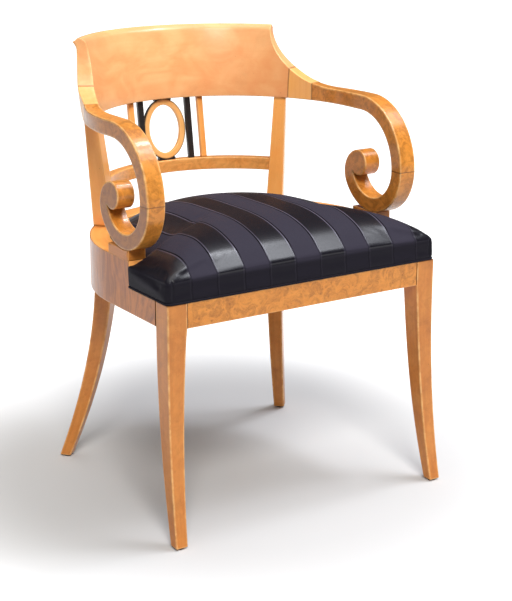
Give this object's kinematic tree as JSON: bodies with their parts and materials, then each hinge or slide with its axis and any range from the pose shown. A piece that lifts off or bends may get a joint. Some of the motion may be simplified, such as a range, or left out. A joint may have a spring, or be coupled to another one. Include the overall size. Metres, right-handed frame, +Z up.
{
  "type": "gondola armchair",
  "caption": "Show-wood gondola tub armchair with a curved crest rail, open scroll arms, sabre legs and a stuffed, striped satin seat.",
  "frame": {"origin": "on the floor, in the middle of the chair's width and depth", "axes": "+Z up, the front of the chair faces -Y, +X is to the right of someone who looks at its front"},
  "size_m": [0.5712, 0.584, 0.811],
  "materials": {
    "birch": "french polished, semi-gloss",
    "burl": "burl veneer, french polished, semi-gloss",
    "ebony": "ebonised, semi-gloss",
    "satin": "striped satin",
    "beech": "plain, unfinished",
    "steel": "plain",
    "jute": "coarse weave",
    "hair": "curled hair stuffing",
    "lining": "plain cotton"
  },
  "bodies": {
    "root": {"front_rail": "beech", "side_rail_left": "beech", "side_rail_right": "beech", "back_rail": "beech", "front_rail_veneer": "burl", "rail_veneer_left": "burl", "rail_veneer_right": "burl", "rail_dowels": "beech", "front_leg_left": "birch", "front_leg_right": "birch", "rear_leg_left": "birch", "rear_leg_right": "birch", "foot_glides": "steel", "corner_block_left": "beech", "corner_block_right": "beech", "corner_block_screws": "steel", "seat_bearer_left": "beech", "seat_bearer_right": "beech", "seat_bearer_back": "beech", "back_post_left": "birch", "back_post_right": "birch", "mid_rail": "birch", "crest_rail": "birch", "knee_left": "birch", "knee_right": "birch", "arm_left": "burl", "arm_right": "burl", "scroll_left": "burl", "scroll_right": "burl", "arm_dowels": "beech", "scroll_block_left": "birch", "scroll_block_right": "birch", "scroll_dowels": "beech", "black_bar_left": "ebony", "black_bar_right": "ebony", "birch_bar_left": "birch", "birch_bar_right": "birch", "back_ring": "birch", "ring_pad_top": "ebony", "ring_pad_bottom": "ebony", "ring_pins": "beech", "seat_frame_front": "beech", "seat_frame_left": "beech", "seat_frame_right": "beech", "seat_frame_back": "beech", "webbing_long": "jute", "webbing_cross": "jute", "hessian": "jute", "stuffing": "hair", "seat_cover": "satin", "seat_welt": "satin", "bottom_cloth": "lining", "seat_screws": "steel"}
  },
  "joints": []
}
